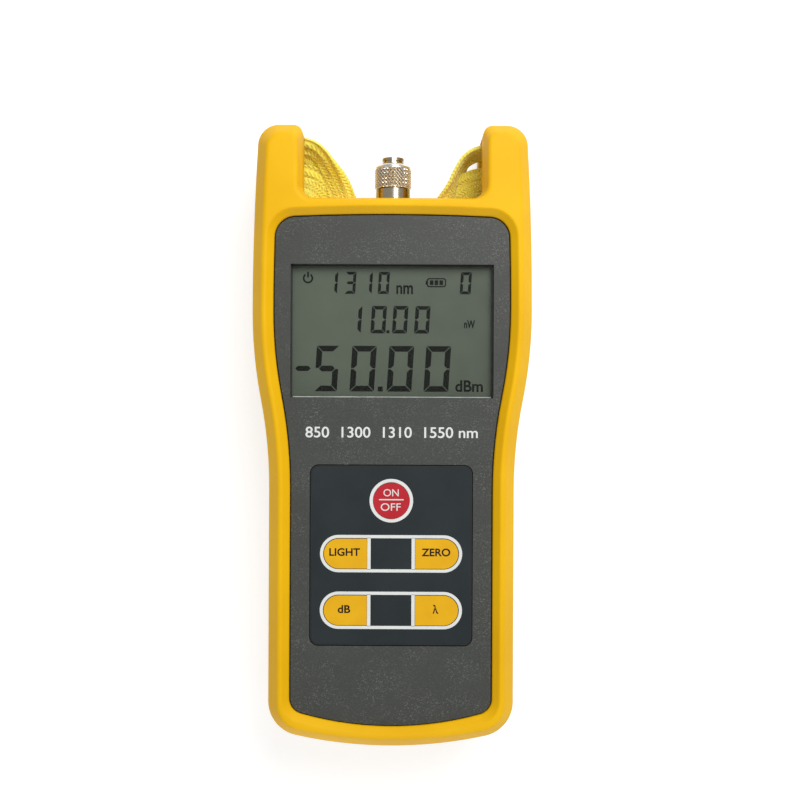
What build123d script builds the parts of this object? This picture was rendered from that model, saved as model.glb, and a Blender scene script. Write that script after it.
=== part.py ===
from build123d import *
import math
import os

# Handheld optical power meter lying on its back. Millimetres.
# +Z comes out of the display, +Y points at the fibre adapter, z = 0 is the back of the boot.

# Whole body
BODY_LENGTH = 175.0
BODY_WIDTH = 78.8
BODY_DEPTH = 33.0
HALF_LENGTH = BODY_LENGTH / 2
HEAD_HALF = BODY_WIDTH / 2
GRIP_HALF = HEAD_HALF - 4.9
HORN_TIP_HALF = HEAD_HALF - 1.7
WAIST_LOW = -0.0857 * BODY_LENGTH
WAIST_HIGH = 0.2 * BODY_LENGTH
BOTTOM_RADIUS = 125.0
BOTTOM_CORNER = 9.8

# Horns and crown of the boot
HORN_HEIGHT = 20.5
HORN_WIDTH = 13.9
HORN_INNER = HEAD_HALF - HORN_WIDTH
CROWN_Y = HALF_LENGTH - HORN_HEIGHT
HORN_OUTER_ROUND = 5.9
HORN_INNER_ROUND = 2.6
CROOK_ROUND = 3.0

# Boot section
BOOT_WALL = 3.0
BOOT_FIT = 0.1
RIM_SLOPE = 3.1
RIM_DROP = 4.5
RIM_INNER_SLOPE = 1.2
RIM_SOFTEN = 1.1
BACK_ROUND = 2.5
REAR_LIP = 2.1
REAR_WINDOW_INSET = 8.2
REAR_WINDOW_END = 8.5
REAR_WINDOW_TOP_ROUND = 3.0
REAR_WINDOW_ROUND = 5.0
OPENING_INSET = 6.1
OPENING_TOP = CROWN_Y - 4.9
OPENING_RISE = 0.9
OPENING_BOTTOM = -HALF_LENGTH + 6.1
OPENING_BOTTOM_RADIUS = 93.0
OPENING_TOP_ROUND = 6.0
OPENING_LOW_ROUND = 4.5
OPENING_BEVEL = 1.95
PANEL_GAP = 0.4
PAST = 1.0

# Case
CASE_WALL = 2.0
CASE_BACK = REAR_LIP + BOOT_FIT
SHOULDER_Z = BODY_DEPTH - 4.0
PANEL_Z = BODY_DEPTH - 2.0
PANEL_UNDER = PANEL_Z - 2.5
REAR_FLOOR = 3.0
FRONT_CEILING = SHOULDER_Z - CASE_WALL
CASE_INSET = BOOT_WALL + BOOT_FIT
CASE_TOP = CROWN_Y - CASE_INSET
CASE_BOTTOM = -HALF_LENGTH + CASE_INSET
CASE_ROUND = 6.0

# Fibre adapter, axis along Y
AXIS_Z = BODY_DEPTH - 12.5
CASE_SPLIT = AXIS_Z - 2.5
BARREL_R = 5.0
BARREL_START = CROWN_Y - 9.2
BARREL_END = CROWN_Y + 3.55
SHOULDER_R = 5.9
SHOULDER_LEN = 1.5
NECK_R = 4.2
NECK_LEN = 5.2
NECK_END = BARREL_END + NECK_LEN
BORE_R = 3.2
BORE_START = CROWN_Y + 1.5
APERTURE_R = 1.5
DIODE_R = 2.7
DIODE_LEN = 4.0
DIODE_FIT = 0.05
LEAD_R = 0.25
LEAD_LEN = 2.0
LEAD_PITCH = 2.4
NUT_R = 5.3
NUT_LEN = 7.15
NUT_END = BARREL_END + NUT_LEN
NUT_LIP = 1.0
NUT_ROUND = 1.0
NECK_FIT = 0.3
NOSE_R = 3.15
NOSE_REACH = 1.95
NOSE_END = NUT_END + NOSE_REACH
NOSE_STEM_R = 2.9
NOSE_STEM_START = CROWN_Y + 2.6
NOSE_FLANGE_R = 4.05
NOSE_PLAY = 0.05
NOSE_LIP_FIT = 0.3
FERRULE_R = 1.26
NOSE_SLOT = 0.65
NOSE_SLOT_DEPTH = 1.6
GROOVE_BACK = 1.3
GROOVE_DEPTH = 0.35
GROOVE_WIDTH = 0.5
ADAPTER_GAP = 0.25
HEX_R = 6.1
HEX_LEN = 2.0
WASHER_LEN = 0.5
CROWN_HOLE_FIT = 0.3

# Strap and the sloping recess behind the crown
STRAP_SLOPE = 10.0
STRAP_WIDTH = 0.4314 * HORN_INNER
STRAP_THICK = 1.4
STRAP_CROWN_Z = AXIS_Z - 9.3
STRAP_AIR = 1.3
STRAP_BEND_SHARE = 0.45
STRAP_ROUTE = [
    (0.18, -0.941),
    (0.439, -0.753),
    (0.533, -0.369),
    (0.659, 0.047),
    (0.933, 0.345),
    (1.16, 0.455),
]
STRAP_HALF_PATH = [(HORN_INNER * across, HORN_INNER * along) for across, along in STRAP_ROUTE]
RECESS_WALL = 1.6
RECESS_REACH = 30.0
RECESS_CROWN_Z = STRAP_CROWN_Z + STRAP_THICK / 2 + STRAP_AIR
SLOT_DEPTH = HORN_WIDTH - 5.6
SLOT_BOTTOM_Y = CROWN_Y - 2.2
SLOT_TOP_Y = HALF_LENGTH - 2.3
SLOT_BELOW = 2.0
SLOT_ABOVE = 11.5

# Display stack
WINDOW_X = 2 * (HEAD_HALF - 10.95)
WINDOW_Y = 0.2137 * BODY_LENGTH
WINDOW_DROP = 19.0
WINDOW_CENTRE_Y = CROWN_Y - WINDOW_DROP - WINDOW_Y / 2
LENS_LEDGE = 1.5
LENS_FIT = 0.1
LENS_TOP = PANEL_Z - 1.3
LENS_THICK = 1.6
LCD_THICK = 1.8
LCD_Y = WINDOW_Y + 4.6
BACKLIGHT_Y = WINDOW_Y - 0.4
BACKLIGHT_THICK = 2.1
FRAME_WALL = 1.0
FRAME_FIT = 0.2
ZEBRA_Y = 1.6
ZEBRA_INSET = 3.95

# Main board
BOARD_TOP = LENS_TOP - LENS_THICK - LCD_THICK - BACKLIGHT_THICK
BOARD_THICK = 1.6
BOARD_HALF = WINDOW_X / 2 + 2.4
BOARD_Y0 = WINDOW_CENTRE_Y - WINDOW_Y / 2 - 5.6
BOARD_Y1 = CROWN_Y - 9.6
TONGUE_HALF = BOARD_HALF - 7.5
BOARD_POST_R = 2.2
BOARD_POST_INSET = 2.8
BOARD_SCREW_R = 1.0
BOARD_SCREW_REACH = 2.6
BOARD_HEAD_R = 1.9
BOARD_HEAD = 1.4
SCREW_FIT = 0.05
SCREW_ROOM = 0.4
CHIP_SIDE = 12.0
CHIP_DEEP = 1.4
AMP_X = 5.0
AMP_Y = 6.0
AMP_DEEP = 1.5
CRYSTAL_X = 10.0
CRYSTAL_Y = 4.0
CRYSTAL_DEEP = 3.2

# Keypad
PAD_X = 2 * (GRIP_HALF - 11.9)
PAD_Y = 0.2874 * BODY_LENGTH
PAD_CENTRE_Y = -HALF_LENGTH + 0.3086 * BODY_LENGTH
PAD_ROUND = 2.3
PAD_FIT = 0.25
RECESS_FLOOR = PANEL_Z - 1.5
CIRCUIT_THICK = 0.2
SPACER_THICK = 0.8
SPACER_ROOM = 0.3
OVERLAY_THICK = 0.4
KEY_PROUD = 0.2
KEY_FIT = 0.12
KEY_TRAVEL = 0.35
KEY_REST = 0.05
DOME_R = 2.5
DOME_THICK = 0.1
POWER_Y = PAD_CENTRE_Y + 0.3042 * PAD_Y
POWER_R = 0.1004 * PAD_Y
KEY_INNER = 0.1493 * PAD_X
KEY_OUTER = PAD_X / 2 - 3.8
KEY_HEIGHT = 0.165 * PAD_Y
ROW_LIGHT_Y = PAD_CENTRE_Y + 0.0089 * PAD_Y
ROW_UNIT_Y = PAD_CENTRE_Y - 0.3062 * PAD_Y
TAIL_X = 12.0
TAIL_Y = PAD_CENTRE_Y + PAD_Y / 2 - 1.55
TAIL_FIT = 0.15
TAIL_ROOM = 0.5
TAIL_LIFT = 0.6
SOCKET_WALL = 1.05
SOCKET_DEEP = 1.35
SOCKET_HIGH = 2.2
TONGUE_Y0 = TAIL_Y - 2.6

# Battery bay, as wide as three cells side by side
BAY_HALF = GRIP_HALF - 11.4
BAY_WALL = 1.5
BAY_AIR = 1.2
CELL_PITCH = (2 * BAY_HALF - BAY_AIR) / 3
CELL_R = CELL_PITCH / 2 - 0.35
CELL_LENGTH = 0.2886 * BODY_LENGTH
CELL_NUB = 1.4
CELL_NUB_R = 2.7
CELL_Z = CELL_R + 5.55
BAY_TOP = CELL_Z + CELL_R + 0.25
BAY_CEILING = 1.2
CONTACT_THICK = 0.4
CONTACT_X = 8.0
CONTACT_Z = 10.0
SPRING_X = 6.0
SPRING_ROOM = 6.6
SPRING_TIP = 1.4
BAY_Y0 = -HALF_LENGTH + 14.5
BAY_Y1 = BAY_Y0 + CELL_LENGTH + SPRING_ROOM + CONTACT_THICK

# Battery door, sliding along +Y
DOOR_HALF = BAY_HALF - 0.1
DOOR_Y0 = BAY_Y0 - 1.0
DOOR_Y1 = BAY_Y1 + 3.5
DOOR_TRAVEL = 8.0
DOOR_FIT = 0.3
DOOR_TONGUE = 1.2
DOOR_STEP = 1.0
DOOR_STEP_FIT = 0.2
DOOR_THICK = 2.0
RIB_COUNT = 4
RIB_PITCH = 3.0
RIB_START = 5.0
RIB_HALF = 9.0
RIB_THICK = 1.2
RIB_HIGH = 0.7

# Case screws
CASE_POST_R = 2.9
CASE_POST_ROOM = 0.5
CASE_SCREW_R = 1.25
CASE_HEAD_R = 2.2
CASE_HEAD = 1.6
CASE_HEAD_SUNK = 0.8
CASE_HEAD_FIT = 0.2
CASE_SCREW_END = FRONT_CEILING - CASE_WALL
SCREW_SLOT_X = 3.0
SCREW_SLOT_Y = 0.6
SCREW_SLOT_DEEP = 0.7
UPPER_SCREW = (HEAD_HALF - 7.0, CROWN_Y - 10.0)
LOWER_SCREW = (BAY_HALF + BAY_WALL + CASE_POST_R + 0.2, -0.331 * BODY_LENGTH)
CASE_SCREWS = [(side * x, y) for x, y in (UPPER_SCREW, LOWER_SCREW) for side in (-1, 1)]
UPPER_POST = (BOARD_HALF - 6.0, BOARD_Y1 - BOARD_POST_INSET)
LOWER_POST = (TONGUE_HALF - 4.0, BOARD_Y0 - 3.5)
BOARD_SCREWS = [(side * x, y) for x, y in (UPPER_POST, LOWER_POST) for side in (-1, 1)]


def slab(face, z0, z1):
    """A plan face made into a plate between two heights."""
    return Pos(0, 0, z0) * extrude(face, z1 - z0)


def block(x0, x1, y0, y1, z0, z1):
    """A plain block between two corners."""
    return Pos((x0 + x1) / 2, (y0 + y1) / 2, (z0 + z1) / 2) * Box(x1 - x0, y1 - y0, z1 - z0)


def rod(radius, y0, y1):
    """A round bar on the adapter axis between two stations along Y."""
    return Pos(0, (y0 + y1) / 2, AXIS_Z) * Rot(-90, 0, 0) * Cylinder(radius, y1 - y0)


def post(x, y, radius, z0, z1):
    """An upright round bar."""
    return Pos(x, y, (z0 + z1) / 2) * Cylinder(radius, z1 - z0)


def round_at(face, x, y, radius):
    """Rounds the two mirrored corners of a plan face that lie at x and y."""
    picked = [v for v in face.vertices() if abs(abs(v.X) - x) < 0.01 and abs(v.Y - y) < 0.01]
    return fillet(picked, radius)


# Numbers of the S-shaped waist, shared by every outline
WAIST_STEP = (HEAD_HALF - GRIP_HALF) / 2
WAIST_RUN = (WAIST_HIGH - WAIST_LOW) / 2
WAIST_LEAN = 2 * math.atan2(WAIST_STEP, WAIST_RUN)
HEAD_DROP = HEAD_HALF - HORN_TIP_HALF
HEAD_RUN = HALF_LENGTH - WAIST_HIGH
HEAD_RADIUS = (HEAD_RUN**2 + HEAD_DROP**2) / (2 * HEAD_DROP)


def head_x(inset, y):
    """Half-width of the head above the waist, set in by a wall."""
    return HEAD_HALF - HEAD_RADIUS + math.sqrt((HEAD_RADIUS - inset) ** 2 - (y - WAIST_HIGH) ** 2)


def corner_height(inset, bottom_y, radius):
    """Height at which the bottom arc meets the straight grip."""
    return bottom_y + radius - math.sqrt(radius**2 - (GRIP_HALF - inset) ** 2)


def flanks(inset, low_y, top_y):
    """Both flanks: straight grip, two tangent arcs of the waist, slightly leaning head."""
    low = GRIP_HALF - inset
    high = HEAD_HALF - inset
    mid_x = GRIP_HALF + WAIST_STEP - inset * math.cos(WAIST_LEAN)
    mid_y = WAIST_LOW + WAIST_RUN + inset * math.sin(WAIST_LEAN)
    right = [
        Line((low, low_y), (low, WAIST_LOW)),
        TangentArc((low, WAIST_LOW), (mid_x, mid_y), tangent=(0, 1)),
        TangentArc((high, WAIST_HIGH), (mid_x, mid_y), tangent=(0, -1)),
        TangentArc((high, WAIST_HIGH), (head_x(inset, top_y), top_y), tangent=(0, 1)),
    ]
    return right + [mirror(edge, about=Plane.YZ) for edge in right]


def body_face(inset, top_y, rise, bottom_y, radius, top_round, bottom_round):
    """Plan of the body without horns, set in by a wall."""
    low_y = corner_height(inset, bottom_y, radius)
    low = GRIP_HALF - inset
    high = head_x(inset, top_y - rise)
    base = ThreePointArc((-low, low_y), (0, bottom_y), (low, low_y))
    if rise > 0:
        top = ThreePointArc((-high, top_y - rise), (0, top_y), (high, top_y - rise))
    else:
        top = Line((-high, top_y), (high, top_y))
    face = make_face(flanks(inset, low_y, top_y - rise) + [base, top])
    face = round_at(face, low, low_y, bottom_round)
    return round_at(face, high, top_y - rise, top_round)


def horned_face(inset, inner_inset):
    """Plan of the boot with its two horns, set in at the outside and along the horns and crown."""
    bottom_y = -HALF_LENGTH + inset
    top_y = HALF_LENGTH - inset
    crown_y = CROWN_Y - inner_inset
    low_y = corner_height(inset, bottom_y, BOTTOM_RADIUS)
    low = GRIP_HALF - inset
    tip = head_x(inset, top_y)
    wall = HORN_INNER + inner_inset
    edges = flanks(inset, low_y, top_y)
    edges.append(ThreePointArc((-low, low_y), (0, bottom_y), (low, low_y)))
    for side in (-1, 1):
        edges.append(Line((side * tip, top_y), (side * wall, top_y)))
        edges.append(Line((side * wall, top_y), (side * wall, crown_y)))
    edges.append(Line((-wall, crown_y), (wall, crown_y)))
    face = make_face(edges)
    face = round_at(face, low, low_y, BOTTOM_CORNER - inset)
    face = round_at(face, tip, top_y, HORN_OUTER_ROUND - inset / 2)
    face = round_at(face, wall, top_y, HORN_INNER_ROUND)
    return round_at(face, wall, crown_y, CROOK_ROUND + inner_inset)


def case_face(extra):
    """Plan of the case or of a wall set in from it."""
    inset = CASE_INSET + extra
    radius = BOTTOM_RADIUS - inset
    round_low = BOTTOM_CORNER - inset
    return body_face(inset, CASE_TOP - extra, 0, CASE_BOTTOM + extra, radius, CASE_ROUND - extra, round_low)


def opening_face(extra):
    """Plan of the front opening of the boot, or of the panel set in from it."""
    return body_face(
        OPENING_INSET + extra,
        OPENING_TOP - extra,
        OPENING_RISE,
        OPENING_BOTTOM + extra,
        OPENING_BOTTOM_RADIUS - extra,
        OPENING_TOP_ROUND - extra,
        OPENING_LOW_ROUND - extra,
    )


def recess_wedge(half, lift):
    """The sloping hollow behind the crown in which the strap lies."""
    slope = math.tan(math.radians(STRAP_SLOPE))
    crown_z = RECESS_CROWN_Z + lift
    far_y = CROWN_Y + RECESS_REACH
    start_y = CROWN_Y - (crown_z + PAST) / slope
    outline = Polyline((start_y, -PAST), (far_y, -PAST), (far_y, crown_z + RECESS_REACH * slope), close=True)
    return extrude(Plane.YZ * make_face(outline), half, both=True)


def make_boot():
    """Rubber boot: bevelled front rim, horns with strap pockets, open back."""
    belt = horned_face(0, 0)
    crest = horned_face(RIM_SLOPE, RIM_INNER_SLOPE)
    belt_z = BODY_DEPTH - RIM_DROP
    boot = slab(belt, 0, belt_z)
    boot += loft([Pos(0, 0, belt_z) * belt, Pos(0, 0, BODY_DEPTH) * crest], ruled=True)
    boot = fillet(boot.faces().sort_by(Axis.Z)[-1].edges(), RIM_SOFTEN)
    boot = fillet(boot.faces().sort_by(Axis.Z)[0].edges(), BACK_ROUND)
    cavity = case_face(-BOOT_FIT)
    opening = opening_face(0)
    mouth = slab(opening, SHOULDER_Z - PAST, BODY_DEPTH)
    flare = extrude(Pos(0, 0, BODY_DEPTH - OPENING_BEVEL) * opening, OPENING_BEVEL + PANEL_GAP, taper=-45)
    window = body_face(
        REAR_WINDOW_INSET,
        CROWN_Y,
        0,
        -HALF_LENGTH + REAR_WINDOW_END,
        BOTTOM_RADIUS,
        REAR_WINDOW_TOP_ROUND,
        REAR_WINDOW_ROUND,
    )
    boot -= slab(cavity, REAR_LIP, SHOULDER_Z + BOOT_FIT)
    boot -= mouth
    boot -= flare
    between = block(-HORN_INNER, HORN_INNER, -HALF_LENGTH, CROWN_Y, -PAST, REAR_LIP + PAST)
    boot -= slab(window, -PAST, REAR_LIP + PAST) & between
    boot -= recess_wedge(HORN_INNER, 0)
    boot -= rod(BARREL_R + CROWN_HOLE_FIT, CASE_TOP - PAST, CROWN_Y + PAST)
    boot -= rod(SHOULDER_R + CROWN_HOLE_FIT, CASE_TOP - PAST, CASE_TOP + SHOULDER_LEN + BOOT_FIT)
    for side in (-1, 1):
        boot -= strap_slot(side)
    return boot


def strap_slot(side):
    """Pocket in the inner wall of one horn that takes the strap end."""
    low = STRAP_CROWN_Z - SLOT_BELOW
    high = STRAP_CROWN_Z + SLOT_ABOVE
    inner = side * (HORN_INNER - PAST)
    outer = side * (HORN_INNER + SLOT_DEPTH)
    return block(min(inner, outer), max(inner, outer), SLOT_BOTTOM_Y, SLOT_TOP_Y, low, high)


def strap_path():
    """Straight runs joined by tangent arcs, lying in the strap plane."""
    left = [(-x, y) for x, y in STRAP_HALF_PATH]
    points = [Vector(*p) for p in left[::-1] + STRAP_HALF_PATH]
    starts = [points[0]]
    edges = []
    length = 0.0
    for before, here, after in zip(points, points[1:], points[2:]):
        run_in = here - before
        run_out = after - here
        turn = math.radians(run_in.get_angle(run_out))
        reach = STRAP_BEND_SHARE * min(run_in.length, run_out.length)
        radius = reach / math.tan(turn / 2)
        enter = here - run_in.normalized() * reach
        leave = here + run_out.normalized() * reach
        edges.append(Line(starts[-1], enter))
        edges.append(TangentArc(enter, leave, tangent=run_in))
        length += (enter - starts[-1]).length + radius * turn
        starts.append(leave)
        print("strap bend radius", round(radius, 2))
    edges.append(Line(starts[-1], points[-1]))
    length += (points[-1] - starts[-1]).length
    return Wire(edges), points[0], (points[1] - points[0]).normalized(), length


def make_strap():
    """Flat woven strap from horn to horn behind the crown."""
    wire, start, heading, length = strap_path()
    section = Plane(origin=start, x_dir=(0, 0, 1), z_dir=heading) * Rectangle(STRAP_THICK, STRAP_WIDTH)
    strap = sweep(section, path=wire)
    wanted = STRAP_WIDTH * STRAP_THICK * length
    print("strap length", round(length, 1), "volume share", round(strap.volume / wanted, 4))
    return Pos(0, CROWN_Y, STRAP_CROWN_Z) * Rot(STRAP_SLOPE, 0, 0) * strap


def barrel_hole():
    """Hole of the detector barrel through the top wall of the case."""
    return rod(BARREL_R + CROWN_HOLE_FIT, CASE_TOP - CASE_WALL - PAST, CASE_TOP + PAST)


def pad_face(grow):
    """Plan of the keypad layers."""
    return Pos(0, PAD_CENTRE_Y) * RectangleRounded(PAD_X + 2 * grow, PAD_Y + 2 * grow, PAD_ROUND + grow)


def window_block(x_size, y_size, z0, z1):
    """A block centred on the display."""
    y0 = WINDOW_CENTRE_Y - y_size / 2
    return block(-x_size / 2, x_size / 2, y0, y0 + y_size, z0, z1)


LENS_X = WINDOW_X + 2 * LENS_LEDGE
LENS_Y = WINDOW_Y + 2 * LENS_LEDGE
LCD_TOP = LENS_TOP - LENS_THICK
LCD_BOTTOM = LCD_TOP - LCD_THICK
FRAME_X = LENS_X + 2 * FRAME_FIT + 2 * FRAME_WALL
FRAME_Y = LCD_Y + 2 * FRAME_FIT + 2 * FRAME_WALL
BOARD_UNDER = BOARD_TOP - BOARD_THICK


def make_front_case():
    """Front half: panel, display opening, keypad recess, posts for board and screws."""
    case = slab(case_face(0), CASE_SPLIT, SHOULDER_Z) + slab(opening_face(PANEL_GAP), SHOULDER_Z, PANEL_Z)
    case -= slab(case_face(CASE_WALL), CASE_SPLIT, FRONT_CEILING)
    case -= slab(opening_face(PANEL_GAP + CASE_WALL), FRONT_CEILING, PANEL_UNDER)
    for x, y in CASE_SCREWS:
        case += post(x, y, CASE_POST_R, CASE_SPLIT, FRONT_CEILING)
    for x, y in BOARD_SCREWS:
        case += post(x, y, BOARD_POST_R, BOARD_TOP, PANEL_UNDER)
    case -= window_block(FRAME_X + 2 * FRAME_FIT, FRAME_Y + 2 * FRAME_FIT, FRONT_CEILING - PAST, LCD_TOP)
    case -= window_block(LENS_X + 2 * LENS_FIT, LENS_Y + 2 * LENS_FIT, FRONT_CEILING, LENS_TOP)
    case -= window_block(WINDOW_X, WINDOW_Y, FRONT_CEILING, PANEL_Z + PAST)
    case -= slab(pad_face(PAD_FIT), RECESS_FLOOR, PANEL_Z + PAST)
    tail_x = TAIL_X / 2 + TAIL_ROOM
    tail_y = CIRCUIT_THICK / 2 + TAIL_ROOM
    case -= block(-tail_x, tail_x, TAIL_Y - tail_y, TAIL_Y + tail_y, FRONT_CEILING, RECESS_FLOOR + PAST)
    case -= barrel_hole()
    for x, y in CASE_SCREWS:
        case -= post(x, y, CASE_SCREW_R + SCREW_FIT, CASE_SPLIT - PAST, CASE_SCREW_END + SCREW_ROOM)
    for x, y in BOARD_SCREWS:
        end = BOARD_TOP + BOARD_SCREW_REACH + SCREW_ROOM
        case -= post(x, y, BOARD_SCREW_R + SCREW_FIT, BOARD_TOP - PAST, end)
    return case


FLOOR_TOP = CASE_BACK + REAR_FLOOR
SCREW_SEAT = CASE_BACK + CASE_HEAD + CASE_HEAD_SUNK
DOOR_BACK = CASE_BACK + BOOT_FIT
DOOR_TOP = DOOR_BACK + DOOR_THICK
TRACK_TOP = DOOR_TOP + DOOR_STEP_FIT


def make_rear_case():
    """Rear half: battery bay with a door track, sloping strap recess, screw posts."""
    case = slab(case_face(0), CASE_BACK, CASE_SPLIT) - recess_wedge(HORN_INNER, 0)
    hollow = slab(case_face(CASE_WALL), FLOOR_TOP, CASE_SPLIT)
    case -= hollow - recess_wedge(HORN_INNER + RECESS_WALL, RECESS_WALL)
    outer = BAY_HALF + BAY_WALL
    case += block(-outer, outer, BAY_Y0 - BAY_WALL, BAY_Y1 + BAY_WALL, FLOOR_TOP, BAY_TOP + BAY_CEILING)
    for x, y in CASE_SCREWS:
        case += post(x, y, CASE_POST_R, CASE_BACK, CASE_SPLIT)
    case -= block(-BAY_HALF, BAY_HALF, BAY_Y0, BAY_Y1, TRACK_TOP, BAY_TOP)
    half = DOOR_HALF + DOOR_FIT
    y0 = DOOR_Y0 - DOOR_FIT
    y1 = DOOR_Y1 + DOOR_TRAVEL + DOOR_FIT
    case -= block(-half, half, y0, y1, CASE_BACK - PAST, TRACK_TOP)
    side = half + DOOR_TONGUE
    case -= block(-side, side, y0, y1, DOOR_BACK + DOOR_STEP - DOOR_STEP_FIT, TRACK_TOP)
    case -= barrel_hole()
    for x, y in CASE_SCREWS:
        case -= post(x, y, CASE_SCREW_R + SCREW_FIT, CASE_BACK - PAST, CASE_SPLIT + PAST)
        case -= post(x, y, CASE_HEAD_R + CASE_HEAD_FIT, CASE_BACK - PAST, SCREW_SEAT)
    return case


def make_case_screws():
    """Four screws driven in from the back."""
    under = SCREW_SEAT - CASE_HEAD
    half_x = SCREW_SLOT_X / 2
    half_y = SCREW_SLOT_Y / 2
    screws = []
    for x, y in CASE_SCREWS:
        screw = post(x, y, CASE_SCREW_R, SCREW_SEAT, CASE_SCREW_END)
        screw += post(x, y, CASE_HEAD_R, under, SCREW_SEAT)
        slot = block(x - half_x, x + half_x, y - half_y, y + half_y, under - PAST, under + SCREW_SLOT_DEEP)
        screws.append(screw - slot)
    return Compound(screws)


def make_window():
    """Clear sheet seated against the ledge behind the display opening."""
    return window_block(LENS_X, LENS_Y, LCD_TOP, LENS_TOP)


def make_lcd():
    """Display glass."""
    return window_block(LENS_X, LCD_Y, LCD_BOTTOM, LCD_TOP)


def make_backlight():
    """Light guide between the glass and the board."""
    return window_block(LENS_X, BACKLIGHT_Y, BOARD_TOP, LCD_BOTTOM)


def make_zebra():
    """Two rubber contact strips along the long edges of the glass."""
    strips = []
    half = LENS_X / 2 - ZEBRA_INSET
    for side in (-1, 1):
        y = WINDOW_CENTRE_Y + side * (LCD_Y - ZEBRA_Y) / 2
        strips.append(block(-half, half, y - ZEBRA_Y / 2, y + ZEBRA_Y / 2, BOARD_TOP, LCD_BOTTOM))
    return Compound(strips)


def make_lcd_frame():
    """Open frame that keeps glass and light guide on the board."""
    inner = window_block(LENS_X + 2 * FRAME_FIT, LCD_Y + 2 * FRAME_FIT, BOARD_TOP - PAST, LCD_TOP + PAST)
    return window_block(FRAME_X, FRAME_Y, BOARD_TOP, LCD_TOP - FRAME_FIT) - inner


CIRCUIT_TOP = RECESS_FLOOR + CIRCUIT_THICK
SPACER_TOP = CIRCUIT_TOP + SPACER_THICK
OVERLAY_TOP = SPACER_TOP + OVERLAY_THICK
KEY_TOP = OVERLAY_TOP + KEY_PROUD
KEY_UNDER = CIRCUIT_TOP + DOME_THICK + KEY_TRAVEL + KEY_REST
KEY_MIDDLE = (KEY_INNER + KEY_OUTER) / 2
SIDE_KEYS = {
    "light_key": (-1, ROW_LIGHT_Y),
    "zero_key": (1, ROW_LIGHT_Y),
    "decibel_key": (-1, ROW_UNIT_Y),
    "wavelength_key": (1, ROW_UNIT_Y),
}


def side_key_face(side, y, grow):
    """A key with a straight inner end and a round outer end, or its clearance hole."""
    radius = KEY_HEIGHT / 2
    inner = side * (KEY_INNER - grow)
    centre = side * (KEY_OUTER - radius)
    body = Pos((inner + centre) / 2, y) * Rectangle(abs(centre - inner), KEY_HEIGHT + 2 * grow)
    return body + Pos(centre, y) * Circle(radius + grow)


def power_face(grow):
    """The round power key or its clearance hole."""
    return Pos(0, POWER_Y) * Circle(POWER_R + grow)


def key_holes(grow):
    """All five key openings of one keypad layer."""
    holes = power_face(grow)
    for side, y in SIDE_KEYS.values():
        holes += side_key_face(side, y, grow)
    return holes


def make_overlay():
    """Top sheet of the keypad with an opening for each key."""
    return slab(pad_face(0) - key_holes(KEY_FIT), SPACER_TOP, OVERLAY_TOP)


def make_spacer():
    """Middle sheet that leaves each key its room to travel."""
    return slab(pad_face(0) - key_holes(KEY_FIT + SPACER_ROOM), CIRCUIT_TOP, SPACER_TOP)


def make_circuit():
    """Printed sheet under the keys with the tail that drops to the board."""
    sheet = slab(pad_face(0), RECESS_FLOOR, CIRCUIT_TOP)
    half = CIRCUIT_THICK / 2
    tail = block(-TAIL_X / 2, TAIL_X / 2, TAIL_Y - half, TAIL_Y + half, BOARD_TOP + TAIL_LIFT, CIRCUIT_TOP)
    return sheet + tail


def make_domes():
    """Five snap discs on the circuit sheet."""
    places = [(0, POWER_Y)] + [(side * KEY_MIDDLE, y) for side, y in SIDE_KEYS.values()]
    return Compound([post(x, y, DOME_R, CIRCUIT_TOP, CIRCUIT_TOP + DOME_THICK) for x, y in places])


def make_board():
    """Circuit board, wide behind the display and narrow at the keypad tail."""
    board = block(-BOARD_HALF, BOARD_HALF, BOARD_Y0, BOARD_Y1, BOARD_UNDER, BOARD_TOP)
    board += block(-TONGUE_HALF, TONGUE_HALF, TONGUE_Y0, BOARD_Y0, BOARD_UNDER, BOARD_TOP)
    for x, y in BOARD_SCREWS:
        board -= post(x, y, BOARD_SCREW_R + FRAME_FIT, BOARD_UNDER - PAST, BOARD_TOP + PAST)
    for x, y in CASE_SCREWS:
        board -= post(x, y, CASE_POST_R + CASE_POST_ROOM, BOARD_UNDER - PAST, BOARD_TOP + PAST)
    return board


def make_board_screws():
    """Four screws that hold the board to the posts."""
    end = BOARD_TOP + BOARD_SCREW_REACH
    screws = []
    for x, y in BOARD_SCREWS:
        head = post(x, y, BOARD_HEAD_R, BOARD_UNDER - BOARD_HEAD, BOARD_UNDER)
        screws.append(head + post(x, y, BOARD_SCREW_R, BOARD_UNDER, end))
    return Compound(screws)


def under_board(x, y, x_size, y_size, depth):
    """A component soldered to the underside of the board."""
    half_x = x_size / 2
    half_y = y_size / 2
    return block(x - half_x, x + half_x, y - half_y, y + half_y, BOARD_UNDER - depth, BOARD_UNDER)


def make_tail_connector():
    """Socket on the board that takes the keypad tail."""
    slit_x = TAIL_X / 2 + TAIL_FIT
    slit_y = CIRCUIT_THICK / 2 + TAIL_FIT
    out_x = slit_x + SOCKET_WALL
    out_y = slit_y + SOCKET_DEEP
    top = BOARD_TOP + SOCKET_HIGH
    shell = block(-out_x, out_x, TAIL_Y - out_y, TAIL_Y + out_y, BOARD_TOP, top)
    return shell - block(-slit_x, slit_x, TAIL_Y - slit_y, TAIL_Y + slit_y, BOARD_TOP + TAIL_LIFT, top + PAST)


WALL_INNER_Y = CASE_TOP - CASE_WALL
DIODE_SEAT = BARREL_START + DIODE_LEN


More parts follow.
